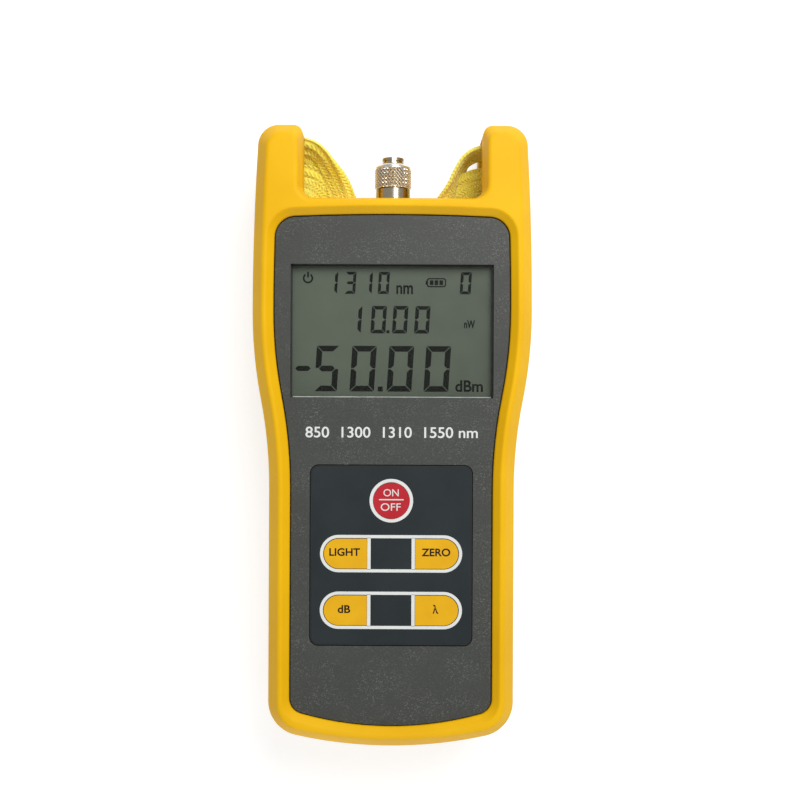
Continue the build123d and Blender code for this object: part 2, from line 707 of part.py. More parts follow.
def make_barrel():
    """Detector barrel through the crown: shoulder, plain shank, reduced neck."""
    barrel = rod(BARREL_R, BARREL_START, BARREL_END)
    barrel += rod(SHOULDER_R, CASE_TOP, CASE_TOP + SHOULDER_LEN)
    barrel += rod(NECK_R, BARREL_END, NECK_END)
    barrel -= rod(BORE_R, BORE_START, NECK_END + PAST)
    barrel -= rod(APERTURE_R, DIODE_SEAT - PAST, BORE_START + PAST)
    barrel -= rod(DIODE_R + DIODE_FIT, BARREL_START - PAST, DIODE_SEAT)
    return barrel


def make_barrel_washer():
    """Washer against the inside of the case wall."""
    ring = rod(HEX_R, WALL_INNER_Y - WASHER_LEN, WALL_INNER_Y)
    return ring - rod(BARREL_R + SCREW_FIT, BARREL_START, CASE_TOP)


def make_barrel_nut():
    """Hexagon nut that clamps the barrel to the case."""
    end = WALL_INNER_Y - WASHER_LEN
    hexagon = extrude(Plane.XZ * RegularPolygon(HEX_R, 6), -HEX_LEN)
    return Pos(0, end - HEX_LEN, AXIS_Z) * hexagon - rod(BARREL_R + SCREW_FIT, BARREL_START, CASE_TOP)


def make_photodiode():
    """Detector can seated in the back of the barrel, with its leads."""
    can = rod(DIODE_R, BARREL_START, DIODE_SEAT)
    for side in (-1, 1):
        can += Pos(side * LEAD_PITCH / 2, 0, 0) * rod(LEAD_R, BARREL_START - LEAD_LEN, BARREL_START)
    return can


LIP_START = NUT_END - NUT_LIP
FLANGE_START = NECK_END + ADAPTER_GAP


def make_adapter_nose():
    """Ferrule holder: stem in the barrel bore, flange under the nut lip, slotted tip."""
    nose = rod(NOSE_STEM_R, NOSE_STEM_START, FLANGE_START)
    nose += rod(NOSE_FLANGE_R, FLANGE_START, LIP_START - NOSE_PLAY)
    nose += rod(NOSE_R, LIP_START - NOSE_PLAY, NOSE_END)
    groove_start = NOSE_END - GROOVE_BACK
    groove = rod(NOSE_R + PAST, groove_start, groove_start + GROOVE_WIDTH)
    nose -= groove - rod(NOSE_R - GROOVE_DEPTH, LIP_START, NOSE_END)
    nose -= rod(FERRULE_R, NOSE_STEM_START - PAST, NOSE_END + PAST)
    half = NOSE_SLOT / 2
    low = AXIS_Z - NOSE_R - PAST
    high = AXIS_Z + NOSE_R + PAST
    return nose - block(-half, half, NOSE_END - NOSE_SLOT_DEPTH, NOSE_END + PAST, low, high)


def make_adapter_nut():
    """Knurled nut on the barrel neck; its lip carries the nose along."""
    nut = rod(NUT_R, BARREL_END + ADAPTER_GAP, NUT_END)
    nut = fillet(nut.edges().sort_by(Axis.Y)[-1], NUT_ROUND)
    nut -= rod(NECK_R + NECK_FIT, BARREL_END, LIP_START)
    return nut - rod(NOSE_R + NOSE_LIP_FIT, LIP_START - PAST, NUT_END + PAST)


CONTACT_Y = BAY_Y1 - CONTACT_THICK
CELL_START = CONTACT_Y - CELL_LENGTH


def make_cell(place):
    """One round cell with its raised terminal toward +Y."""
    body = Pos(0, 0, CELL_Z - AXIS_Z) * rod(CELL_R, CELL_START, CONTACT_Y - CELL_NUB)
    nub = Pos(0, 0, CELL_Z - AXIS_Z) * rod(CELL_NUB_R, CONTACT_Y - CELL_NUB, CONTACT_Y)
    return Pos(place * CELL_PITCH, 0, 0) * (body + nub)


def make_contacts():
    """Flat contact plates at the raised terminals."""
    half = CONTACT_X / 2
    plates = []
    for place in (-1, 0, 1):
        x = place * CELL_PITCH
        low = CELL_Z - CONTACT_Z / 2
        plates.append(block(x - half, x + half, CONTACT_Y, BAY_Y1, low, low + CONTACT_Z))
    return Compound(plates)


def make_springs():
    """Bent leaf springs that press on the flat ends of the cells."""
    y0 = BAY_Y0
    y1 = CELL_START
    t = CONTACT_THICK
    high = CELL_Z + CONTACT_Z / 2
    outline = Polyline(
        (y0, CELL_Z - CONTACT_Z / 2),
        (y0 + t, CELL_Z - CONTACT_Z / 2),
        (y0 + t, high - SPRING_TIP),
        (y1, CELL_Z - SPRING_TIP / 2),
        (y1, CELL_Z + SPRING_TIP / 2),
        (y0 + t, high),
        (y0, high),
        close=True,
    )
    leaf = extrude(Plane.YZ * make_face(outline), SPRING_X / 2, both=True)
    return Compound([Pos(place * CELL_PITCH, 0, 0) * leaf for place in (-1, 0, 1)])


def make_door():
    """Sliding battery door with side tongues and thumb ribs."""
    door = block(-DOOR_HALF, DOOR_HALF, DOOR_Y0, DOOR_Y1, DOOR_BACK, DOOR_TOP)
    side = DOOR_HALF + DOOR_TONGUE
    door += block(-side, side, DOOR_Y0, DOOR_Y1, DOOR_BACK + DOOR_STEP, DOOR_TOP)
    for index in range(RIB_COUNT):
        y = DOOR_Y1 - RIB_START - RIB_THICK / 2 - index * RIB_PITCH
        door += block(-RIB_HALF, RIB_HALF, y, y + RIB_THICK, DOOR_BACK - RIB_HIGH, DOOR_BACK)
    return door


PARTS = {
    "protective_boot": make_boot(),
    "hand_strap": make_strap(),
    "front_case": make_front_case(),
    "rear_case": make_rear_case(),
    "case_screws": make_case_screws(),
    "display_window": make_window(),
    "lcd_panel": make_lcd(),
    "lcd_frame": make_lcd_frame(),
    "backlight_panel": make_backlight(),
    "zebra_strips": make_zebra(),
    "keypad_overlay": make_overlay(),
    "keypad_spacer": make_spacer(),
    "keypad_circuit": make_circuit(),
    "key_domes": make_domes(),
    "power_key": slab(power_face(0), KEY_UNDER, KEY_TOP),
    "main_board": make_board(),
    "board_screws": make_board_screws(),
    "processor_chip": under_board(BOARD_HALF / 4, WINDOW_CENTRE_Y, CHIP_SIDE, CHIP_SIDE, CHIP_DEEP),
    "amplifier_chip": under_board(-BOARD_HALF / 3, BOARD_Y1 - 2 * AMP_Y, AMP_X, AMP_Y, AMP_DEEP),
    "crystal_can": under_board(-BOARD_HALF / 2, BOARD_Y0 + 3 * CRYSTAL_Y, CRYSTAL_X, CRYSTAL_Y, CRYSTAL_DEEP),
    "tail_connector": make_tail_connector(),
    "detector_barrel": make_barrel(),
    "barrel_washer": make_barrel_washer(),
    "barrel_nut": make_barrel_nut(),
    "photodiode": make_photodiode(),
    "adapter_nose": make_adapter_nose(),
    "adapter_nut": make_adapter_nut(),
    "cell_left": make_cell(-1),
    "cell_middle": make_cell(0),
    "cell_right": make_cell(1),
    "battery_springs": make_springs(),
    "battery_contacts": make_contacts(),
    "battery_door": make_door(),
}
for key_name, (key_side, key_y) in SIDE_KEYS.items():
    PARTS[key_name] = slab(side_key_face(key_side, key_y, 0), KEY_UNDER, KEY_TOP)

os.makedirs("parts", exist_ok=True)
for node, shape in PARTS.items():
    export_step(shape, "parts/" + node + ".step")
    print(node, "solids", len(shape.solids()), "volume", round(shape.volume, 1))
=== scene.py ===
# %% [markdown]
# A hand-held optical power meter, dressed for its portrait.
# The solids come packed from the CAD source and stay where they are: they are the frame.
# This lesson gives each of them a finish, adds the pieces that are too fine for solids,
# such as knurling, weave and print, and lights the whole as a plain product picture.

# %% Load the frame
import math

import bpy
import numpy as np
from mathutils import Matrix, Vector


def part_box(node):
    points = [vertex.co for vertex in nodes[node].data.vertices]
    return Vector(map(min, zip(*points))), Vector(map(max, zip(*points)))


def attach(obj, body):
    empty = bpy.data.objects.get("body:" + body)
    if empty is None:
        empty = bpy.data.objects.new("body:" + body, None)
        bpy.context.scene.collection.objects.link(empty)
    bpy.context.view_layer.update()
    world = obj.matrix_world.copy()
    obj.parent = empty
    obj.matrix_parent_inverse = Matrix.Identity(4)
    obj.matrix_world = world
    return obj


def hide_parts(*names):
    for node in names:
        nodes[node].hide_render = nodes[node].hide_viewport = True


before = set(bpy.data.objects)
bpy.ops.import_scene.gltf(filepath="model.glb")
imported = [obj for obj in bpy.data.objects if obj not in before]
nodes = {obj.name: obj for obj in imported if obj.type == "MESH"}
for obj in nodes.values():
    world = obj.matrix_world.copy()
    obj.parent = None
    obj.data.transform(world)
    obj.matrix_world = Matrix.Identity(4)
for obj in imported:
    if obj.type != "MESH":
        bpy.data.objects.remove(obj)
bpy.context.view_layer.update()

MM = 0.001

# %% [markdown]
# The picture was taken from straight above, with the meter lying on its back.
# A long lens far away would show no sides at all, yet both flanks can be seen,
# so the camera stands only a third of a metre up. That is a real position in metres,
# and the view keeps its true perspective without any shift.
# The meter lay a little askew, so the camera is turned by a quarter of a degree.

# %% Camera
CAMERA_AT = (0.0023, 0.0100, 0.333)
CAMERA_TURN = 0.0045
SENSOR_MM, LENS_MM = 36.0, 48.57

scene = bpy.context.scene
scene.view_settings.view_transform = "Standard"
camera_lens = bpy.data.cameras.new("overhead_lens")
camera_lens.sensor_width = SENSOR_MM
camera_lens.lens = LENS_MM
camera_lens.clip_start = 0.01
camera = bpy.data.objects.new("overhead_camera", camera_lens)
camera.location = CAMERA_AT
camera.rotation_euler = (0.0, 0.0, CAMERA_TURN)
scene.collection.objects.link(camera)
scene.camera = camera
print("camera", tuple(round(c, 4) for c in camera.location))

# %% [markdown]
# Every mesh here is a table of points that numpy works out at once.
# A surface on two parameters is a grid: its faces join each point to the next in both directions,
# and a closed direction also joins the last to the first.
# The sign of the volume tells whether the faces point outwards, so no mesh is left inside out.

# %% Meshes from whole arrays
SHARP_FROM = math.radians(40)


def grid_faces(rows, cols, closed_rows=False, closed_cols=True):
    """Four-sided faces of a rows by cols grid of points, as indices; a closed direction wraps round."""
    index = np.arange(rows * cols).reshape(rows, cols)
    if closed_rows:
        index = np.vstack([index, index[:1]])
    if closed_cols:
        index = np.hstack([index, index[:, :1]])
    corners = [index[:-1, :-1], index[1:, :-1], index[1:, 1:], index[:-1, 1:]]
    return np.stack(corners, axis=-1).reshape(-1, 4)


def signed_volume(points, groups):
    """Volume inside a closed skin: each face is cut into a fan, and a . (b x c) / 6 is added up."""
    total = 0.0
    for faces in groups:
        for k in range(1, faces.shape[1] - 1):
            a, b, c = points[faces[:, 0]], points[faces[:, k]], points[faces[:, k + 1]]
            total += float(np.einsum("ij,ij->", a, np.cross(b, c))) / 6.0
    return total


def join(parts):
    """Several (points, groups) shapes as one: each shape's indices move up by the points before it."""
    start, points, groups = 0, [], []
    for shape, faces in parts:
        points.append(shape)
        groups += [group + start for group in faces]
        start += len(shape)
    return np.vstack(points), groups


def mesh_points(mesh):
    """The points of a mesh as an array with a row for each."""
    points = np.empty(len(mesh.vertices) * 3)
    mesh.vertices.foreach_get("co", points)
    return points.reshape(-1, 3)


def ride_along(name, mesh, body, finish):
    """Makes a mesh a piece of the scene: it wears a finish and rides on a body."""
    mesh.materials.clear()
    mesh.materials.append(finish)
    piece = bpy.data.objects.new(name, mesh)
    scene.collection.objects.link(piece)
    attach(piece, body)
    return piece


def new_piece(name, shape, body, finish, smooth=False, uv=None, marks=None):
    """Puts a closed shape in millimetres into a mesh in metres, faces outward, and lets it ride on a body.

    uv and marks hold a pair and a number for each point, for the finish to read.
    """
    points, groups = shape
    if signed_volume(points, groups) < 0:
        groups = [group[:, ::-1] for group in groups]
    mesh = bpy.data.meshes.new(name)
    mesh.from_pydata(points * MM, [], [face for group in groups for face in group.tolist()])
    mesh.polygons.foreach_set("use_smooth", np.full(len(mesh.polygons), smooth))
    if smooth:
        mesh.set_sharp_from_angle(angle=SHARP_FROM)
    if uv is not None:
        corner = np.empty(len(mesh.loops), dtype=np.int32)
        mesh.loops.foreach_get("vertex_index", corner)
        mesh.uv_layers.new(name="weave").data.foreach_set("uv", uv[corner].ravel())
    if marks is not None:
        mesh.attributes.new("groove", "FLOAT", "POINT").data.foreach_set("value", marks)
    return ride_along(name, mesh, body, finish)


print("mesh helpers ready")

# %% [markdown]
# A finish is a small graph of nodes round one Principled shader.
# Nothing on a real object is one flat colour: moulded plastic drifts a little in tone,
# its gloss changes from patch to patch, and light breaks on a fine grain.
# Noise on Object coordinates gives all three, at sizes stated in millimetres.

# %% Nodes and colours
def screen(red, green, blue):
    """Screen colour, 0 to 255, to linear light: c / 12.92 near black, else ((c + 0.055) / 1.055) ^ 2.4."""
    c = np.array([red, green, blue]) / 255.0
    linear = np.where(c <= 0.04045, c / 12.92, ((c + 0.055) / 1.055) ** 2.4)
    return (*linear.tolist(), 1.0)


def add(tree, kind, inputs=None, **settings):
    """A new node: settings are its properties, and each input takes a value or another node's socket."""
    node = tree.nodes.new(kind)
    for key, value in settings.items():
        setattr(node, key, value)
    for key, value in (inputs or {}).items():
        if isinstance(value, bpy.types.NodeSocket):
            tree.links.new(value, node.inputs[key])
        else:
            node.inputs[key].default_value = value
    return node


def start_finish(name):
    """A material with its Principled shader and the piece's own Object coordinates."""
    finish = bpy.data.materials.new(name)
    finish.use_nodes = True
    tree = finish.node_tree
    place = tree.nodes.new("ShaderNodeTexCoord").outputs["Object"]
    return finish, tree, tree.nodes["Principled BSDF"], place


def cloud(tree, place, size_mm, detail=3.0, roughness=0.5):
    """Noise whose blobs are about size_mm across: the scale is 1000 / size_mm in metres."""
    settings = {"Vector": place, "Scale": 1000.0 / size_mm, "Detail": detail, "Roughness": roughness}
    return add(tree, "ShaderNodeTexNoise", settings).outputs["Fac"]


def remap(tree, value, low, high, to_low, to_high):
    """Straight-line map of low..high onto to_low..to_high, held at both ends."""
    settings = {"Value": value, "From Min": low, "From Max": high, "To Min": to_low, "To Max": to_high}
    return add(tree, "ShaderNodeMapRange", settings).outputs["Result"]


def calc(tree, operation, first, second=0.0):
    """One arithmetic step on sockets or numbers."""
    return add(tree, "ShaderNodeMath", {0: first, 1: second}, operation=operation).outputs[0]


def mix(tree, amount, first, second):
    """Colour between first, at amount 0, and second, at amount 1."""
    return add(tree, "ShaderNodeMix", {0: amount, 6: first, 7: second}, data_type="RGBA").outputs[2]


def emboss(tree, shader, height, depth_mm, strength=1.0):
    """Lets a height pattern tilt the surface, depth_mm from its lowest to its highest."""
    settings = {"Height": height, "Distance": depth_mm * MM, "Strength": strength}
    tilt = add(tree, "ShaderNodeBump", settings)
    tree.links.new(tilt.outputs["Normal"], shader.inputs["Normal"])
    return tilt


print("node helpers ready")

# %% [markdown]
# The floor is a pale sheet, and the light a white room with one large soft lamp at the upper right
# and a weak one low in front. Together they give a white card that faces up a brightness of about one,
# so a colour written in a finish comes out about as written.
# The rays that see the floor meet a darker sheet with a glow, which is as white but has a paler shadow.
# All other rays meet plain white paper, and its light brightens the flanks from below.

# %% Floor, room and lamps
FLOOR_REACH, FLOOR_Z = 1.6, -0.0002
FLOOR_GLOW, ROOM_LIGHT = 0.70, 0.46


def seen_directly(tree):
    """1 for rays from the camera, from mirrors and through glass, else 0."""
    path = tree.nodes.new("ShaderNodeLightPath")
    both = calc(tree, "MAXIMUM", path.outputs["Is Camera Ray"], path.outputs["Is Glossy Ray"])
    return calc(tree, "MAXIMUM", both, path.outputs["Is Transmission Ray"])


paper, tree, shader, place = start_finish("pale_paper")
tint = cloud(tree, place, 220.0)
white = mix(tree, tint, (0.86, 0.86, 0.86, 1), (0.90, 0.90, 0.90, 1))
seen = mix(tree, tint, (0.42, 0.42, 0.42, 1), (0.45, 0.45, 0.45, 1))
tree.links.new(mix(tree, seen_directly(tree), white, seen), shader.inputs["Base Color"])
shader.inputs["Roughness"].default_value = 0.9
shader.inputs["Specular IOR Level"].default_value = 0.1
shader.inputs["Emission Color"].default_value = (1, 1, 1, 1)
tree.links.new(calc(tree, "MULTIPLY", seen_directly(tree), FLOOR_GLOW), shader.inputs["Emission Strength"])
reach = np.array([-FLOOR_REACH, FLOOR_REACH])
sheet = np.stack(np.meshgrid(reach, reach, [FLOOR_Z], indexing="ij"), axis=-1).reshape(-1, 3)
floor_mesh = bpy.data.meshes.new("paper_floor")
floor_mesh.from_pydata(sheet, [], [(0, 2, 3, 1)])
floor_mesh.materials.append(paper)
floor = bpy.data.objects.new("paper_floor", floor_mesh)
scene.collection.objects.link(floor)

room = bpy.data.worlds.new("white_room")
room.use_nodes = True
tree = room.node_tree
tree.nodes.clear()
glow = add(tree, "ShaderNodeBackground", {"Color": (1, 1, 1, 1), "Strength": ROOM_LIGHT})
add(tree, "ShaderNodeOutputWorld", {"Surface": glow.outputs[0]})
scene.world = room


def soft_lamp(name, location, toward, size, energy):
    """Round soft lamp at a place, turned so that its -Z looks toward a point."""
    light = bpy.data.lights.new(name, "AREA")
    light.shape = "DISK"
    light.size = size
    light.energy = energy
    lamp = bpy.data.objects.new(name, light)
    lamp.location = location
    lamp.rotation_euler = (Vector(toward) - Vector(location)).to_track_quat("-Z", "Y").to_euler()
    scene.collection.objects.link(lamp)


soft_lamp("main_lamp", (0.18, 0.35, 0.52), (0.0, 0.02, 0.03), 0.42, 3.1)
soft_lamp("low_fill", (-0.04, -0.60, 0.18), (0.0, -0.06, 0.03), 0.36, 0.9)
print("floor, room and lamps set")

# %% [markdown]
# The hand strap is a flat knitted band that runs from horn to horn behind the crown.
# A cord's line has to be smooth, so the route's points are the control points of a NURBS spline,
# and the band follows the points that Blender reads back from it.
# Behind the crown the band lies flat in its hollow. Towards the horns it climbs and turns its outer edge up,
# at the left by half a right angle, at the right almost on edge, as a loose band does.
# Round each horn's bar it comes back and is sewn onto itself, so a second, flat layer fills the corner below.

# %% Line of the hand strap
hidden_half = np.array([(4.59, 43.36, 7.03), (11.19, 48.09, 7.87), (13.59, 57.73, 9.57)])
left_end = np.array([(-15.6, 69.4, 12.2), (-18.2, 75.2, 14.4), (-21.2, 80.6, 16.2),
                     (-25.6, 83.0, 16.6), (-29.8, 82.8, 16.2)])
right_end = np.array([(17.3, 69.6, 12.2), (18.6, 76.0, 14.4), (20.9, 80.6, 16.0),
                      (25.5, 83.2, 16.4), (29.8, 83.4, 16.4)])
route = np.vstack([left_end[::-1], hidden_half[::-1] * (-1, 1, 1), hidden_half, right_end])
left_tail = np.array([(-29.8, 74.6, 13.4), (-26.0, 74.5, 13.6), (-21.5, 72.6, 12.8),
                      (-17.6, 67.6, 10.6), (-14.9, 60.0, 9.0), (-14.2, 56.0, 8.3)])
right_tail = np.array([(29.8, 73.8, 13.4), (26.0, 73.7, 13.6), (21.4, 72.0, 12.8),
                       (17.8, 67.6, 10.6), (14.9, 60.0, 9.0), (14.2, 56.0, 8.3)])


def smooth_line(name, control):
    """Points of a NURBS spline, read back from Blender in millimetres, and how far along each of them lies."""
    curve = bpy.data.curves.new(name, "CURVE")
    curve.dimensions = "3D"
    curve.resolution_u = 16
    spline = curve.splines.new("NURBS")
    spline.points.add(len(control) - 1)
    spline.points.foreach_set("co", np.column_stack([control * MM, np.ones(len(control))]).ravel())
    spline.order_u = 3
    spline.use_endpoint_u = True
    holder = bpy.data.objects.new(name, curve)
    line = mesh_points(bpy.data.meshes.new_from_object(holder)) / MM
    bpy.data.objects.remove(holder)
    return line, np.concatenate([[0.0], np.cumsum(np.linalg.norm(np.diff(line, axis=0), axis=1))])


strap_line, strap_run = smooth_line("strap_line", route)
print("strap line:", len(strap_line), "points,", round(strap_run[-1], 1), "mm")

# %% [markdown]
# The knit is a pattern on the band's own map, millimetres along and across it.
# Each column of loops is a V: the stitches, sine waves along the band, are pushed on by a zigzag across it.
# Fuzz from fine noise roughens both, and the same height tilts the light and colours the yarn: darker in the dips
# between loops as painted shade, paler on their crowns as painted highlight.

# %% Knitted finish of the strap
STITCH_MM, COLUMN_MM = 1.05, 1.15

knit, tree, shader, place = start_finish("knitted_strap")
uv = tree.nodes.new("ShaderNodeUVMap")
uv.uv_map = "weave"
split = add(tree, "ShaderNodeSeparateXYZ", {"Vector": uv.outputs["UV"]})
zigzag = calc(tree, "PINGPONG", split.outputs["Y"], COLUMN_MM)
course = calc(tree, "ADD", split.outputs["X"], calc(tree, "MULTIPLY", zigzag, 0.8))
stitch = calc(tree, "SINE", calc(tree, "MULTIPLY", course, 2 * math.pi / STITCH_MM))
column = calc(tree, "COSINE", calc(tree, "MULTIPLY", split.outputs["Y"], 2 * math.pi / COLUMN_MM))
loop_height = calc(tree, "ADD", calc(tree, "MULTIPLY", stitch, 0.65), calc(tree, "MULTIPLY", column, 0.35))
fuzz = cloud(tree, place, 0.5, detail=4.0)
knit_height = calc(tree, "ADD", loop_height, calc(tree, "MULTIPLY", fuzz, 0.8))
# painted shade and highlight: the yarn colour follows the knit height, dark in the dips and pale on the crowns
shaded_yarn = mix(tree, remap(tree, knit_height, -0.6, 1.1, 0.0, 1.0), screen(252, 226, 34), screen(255, 250, 110))
faded = mix(tree, remap(tree, cloud(tree, place, 9.0), 0.35, 0.7, 0.0, 0.35), shaded_yarn, screen(255, 250, 140))
tree.links.new(faded, shader.inputs["Base Color"])
tree.links.new(remap(tree, fuzz, 0.3, 0.7, 0.72, 0.9), shader.inputs["Roughness"])
shader.inputs["Specular IOR Level"].default_value = 0.2
shader.inputs["Sheen Weight"].default_value = 0.6
shader.inputs["Sheen Roughness"].default_value = 0.5
shader.inputs["Subsurface Weight"].default_value = 0.2
shader.inputs["Subsurface Radius"].default_value = (1.0, 0.85, 0.3)
shader.inputs["Subsurface Scale"].default_value = 0.003
emboss(tree, shader, knit_height, 0.13)
print("strap finish:", knit.name)

# %% [markdown]
# The band is an oval swept along that line. Near the horns it twists, curls, narrows and wrinkles,
# each by a number that grows from the strap's middle towards its ends.
# Its two sewn-back layers are a piece of their own that goes with the cord.

# %% Band of the hand strap
BAND_THICK, TAIL_THICK, END_SHARE = 1.3, 1.2, 0.30
TWIST_AT = [62.0, 66.0, 70.0, 75.0, 79.0]


def carry_band(line, run, width, thick, twist, curl, ripple):
    """Flat oval carried along a line.

    At each point the band's side direction is level, and up is at right angles to it and to the line.
    Round the oval, angle q gives c and s, the cosine and sine of q drawn towards a box.
    The section is an arc: at c, from -1 at the inner edge to 1 at the outer, it leans by twist + curl * c,
    and with k = 2 * curl / width that puts it (sin(lean) - sin(twist)) / k out
    and (cos(twist) - cos(lean)) / k up. Thickness and the wrinkles, ripple * sin(1.1 * width * c + run / 2.6),
    stand at right angles to the arc.
    """
    ahead = np.gradient(line, axis=0)
    ahead /= np.linalg.norm(ahead, axis=1)[:, None]
    aside = np.cross(np.array([0.0, 0.0, 1.0]), ahead)
    aside /= np.linalg.norm(aside, axis=1)[:, None]
    up = np.cross(ahead, aside)
    q = np.linspace(0.0, 2 * math.pi, 56, endpoint=False)
    c = np.sign(np.cos(q)) * np.abs(np.cos(q)) ** 0.55
    s = np.sign(np.sin(q)) * np.abs(np.sin(q)) ** 0.45
    width, twist, curl, ripple = (value[:, None] for value in (width, twist, curl, ripple))
    lean = twist + curl * c
    k = 2 * curl / width
    off = 0.5 * thick * s + ripple * np.sin(1.1 * width * c + run[:, None] / 2.6)
    out = (np.sin(lean) - np.sin(twist)) / k - off * np.sin(lean)
    rise = (np.cos(twist) - np.cos(lean)) / k + off * np.cos(lean)
    points = line[:, None, :] + out[..., None] * aside[:, None, :] + rise[..., None] * up[:, None, :]
    rows, cols = lean.shape
    ends = [np.arange(cols)[None, ::-1], np.arange((rows - 1) * cols, rows * cols)[None, :]]
    uv_map = np.stack([np.broadcast_to(run[:, None], lean.shape), 0.5 * width * c], axis=-1).reshape(-1, 2)
    return (points.reshape(-1, 3), [grid_faces(rows, cols)] + ends), uv_map


def laid_tail(name, control):
    """The sewn-back layer of one end: a flat band whose outer edge lifts a little where it leaves the horn."""
    line, run = smooth_line(name, control)
    free = np.clip(1.0 - run / (0.6 * run[-1]), 0.0, 1.0)
    side = np.sign(control[0, 0])
    order = slice(None) if side < 0 else slice(None, None, -1)
    line, free = line[order], free[order]
    twist, curl = np.radians(16.0 * free), np.radians(2.0 + 9.0 * free)
    return carry_band(line, run, 10.0 + 0.6 * free, TAIL_THICK, twist, curl, 0.08 + 0.30 * free)


share = strap_run / strap_run[-1]
near_left = np.clip(1.0 - share / END_SHARE, 0.0, 1.0)
near_right = np.clip(1.0 - (1.0 - share) / END_SHARE, 0.0, 1.0)
twist_left = np.interp(strap_line[:, 1], TWIST_AT, [0.0, 8.0, 20.0, 34.0, 46.0])
twist_right = np.interp(strap_line[:, 1], TWIST_AT, [0.0, 8.0, 38.0, 66.0, 76.0])
band_twist = np.radians(np.where(share < 0.5, twist_left, twist_right))
band_curl = np.radians(2.0 + 8.0 * near_left + 16.0 * near_right)
band_width = 11.0 - 1.8 * near_left - 3.0 * near_right
band_ripple = 0.10 + 0.35 * near_left + 0.12 * near_right
strap_shape, strap_uv = carry_band(strap_line, strap_run, band_width, BAND_THICK, band_twist, band_curl, band_ripple)
strap = new_piece("knitted_hand_strap", strap_shape, "meter", knit, smooth=True, uv=strap_uv)
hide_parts("hand_strap")
tails = [laid_tail("left_tail", left_tail), laid_tail("right_tail", right_tail)]
tail_shape, tail_uv = join([shape for shape, _ in tails]), np.vstack([uv_map for _, uv_map in tails])
sewn_ends = new_piece("sewn_strap_ends", tail_shape, "meter", knit, smooth=True, uv=tail_uv)
print("strap band:", len(strap.data.polygons) + len(sewn_ends.data.polygons), "faces")

# %% [markdown]
# Most of the meter is moulded. One function covers the family: a drift of tone in broad patches,
# a grain that the light catches, and a gloss that wanders round its mean.
# The numbers set on the shader's own sockets stay the same all over a piece.

# %% Moulded finishes
def moulded(name, low, high, gloss, patch_mm, grain_mm, depth_mm, specular, soften_mm=0.0):
    """Tone runs between two screen colours over patches; gloss is (smoothest, roughest).

    Where soften_mm is given, light rounds the piece's edges off by that radius.
    """
    finish, tree, shader, place = start_finish(name)
    patches = remap(tree, cloud(tree, place, patch_mm, detail=4.0), 0.32, 0.68, 0.0, 1.0)
    tree.links.new(mix(tree, patches, screen(*low), screen(*high)), shader.inputs["Base Color"])
    grain = cloud(tree, place, grain_mm, detail=2.0)
    tree.links.new(remap(tree, grain, 0.3, 0.7, *gloss), shader.inputs["Roughness"])
    shader.inputs["Specular IOR Level"].default_value = specular
    tilt = emboss(tree, shader, grain, depth_mm)
    if soften_mm > 0:
        edge = add(tree, "ShaderNodeBevel", {"Radius": soften_mm * MM}, samples=6)
        tree.links.new(edge.outputs["Normal"], tilt.inputs["Normal"])
    return finish


def wear(node_names, finish):
    """Gives carried-over solids their finish in place of the plain one."""
    for name in node_names:
        slots = nodes[name].data.materials
        for k in range(len(slots)):
            slots[k] = finish
    print(finish.name, "on", ", ".join(node_names))


# Finish, two screen colours, gloss, sizes of patch and grain, grain depth, specular and softening, then its solids.
mouldings = [
    ("satin_boot_rubber", (235, 179, 2), (242, 188, 6), (0.46, 0.56), 20.0, 0.35, 0.012, 0.19, 1.0,
     ["protective_boot"]),
    ("rear_grey_plastic", (60, 61, 64), (70, 71, 74), (0.5, 0.65), 16.0, 0.6, 0.05, 0.35, 0.0,
     ["rear_case", "battery_door"]),
    ("inner_black_plastic", (26, 26, 28), (34, 34, 36), (0.45, 0.6), 9.0, 0.5, 0.02, 0.4, 0.0, ["lcd_frame"]),
    ("light_diffuser", (226, 230, 226), (236, 238, 234), (0.3, 0.4), 9.0, 0.4, 0.01, 0.4, 0.0, ["backlight_panel"]),
    ("striped_rubber", (32, 32, 34), (60, 58, 60), (0.6, 0.75), 0.4, 0.3, 0.02, 0.4, 0.0, ["zebra_strips"]),
    ("yellow_key_film", (225, 168, 6), (233, 178, 12), (0.38, 0.5), 6.0, 0.22, 0.008, 0.3, 0.0,
     ["light_key", "zero_key", "decibel_key", "wavelength_key"]),
    ("red_key_film", (180, 24, 38), (189, 32, 46), (0.36, 0.48), 5.0, 0.22, 0.008, 0.35, 0.0, ["power_key"]),
    ("keypad_film", (32, 39, 42), (39, 46, 49), (0.40, 0.52), 12.0, 0.22, 0.01, 0.28, 0.0, ["keypad_overlay"]),
    ("clear_circuit_film", (150, 152, 140), (168, 168, 150), (0.3, 0.4), 4.0, 0.3, 0.01, 0.4, 0.0,
     ["keypad_spacer", "keypad_circuit"]),
    ("board_laminate", (14, 84, 46), (20, 98, 54), (0.3, 0.42), 3.0, 0.4, 0.02, 0.4, 0.0, ["main_board"]),
    ("chip_resin", (24, 24, 26), (32, 32, 34), (0.5, 0.62), 2.0, 0.25, 0.02, 0.4, 0.0,
     ["processor_chip", "amplifier_chip", "tail_connector"]),
    ("cell_jacket", (46, 74, 110), (54, 84, 122), (0.28, 0.38), 8.0, 0.4, 0.01, 0.4, 0.0,
     ["cell_left", "cell_middle", "cell_right"]),
]
finishes = {}
for name, *recipe, worn_by in mouldings:
    finishes[name] = moulded(name, *recipe)
    wear(worn_by, finishes[name])
frame_plastic = finishes["inner_black_plastic"]

# %% [markdown]
# The front panel is a mid-grey plastic full of fine light flecks, the kind that hides scratches.
# Two layers of noise make them: a tight one sets where a fleck may stand,
# and a slightly larger one thins them out, so they come in loose drifts instead of an even spray.

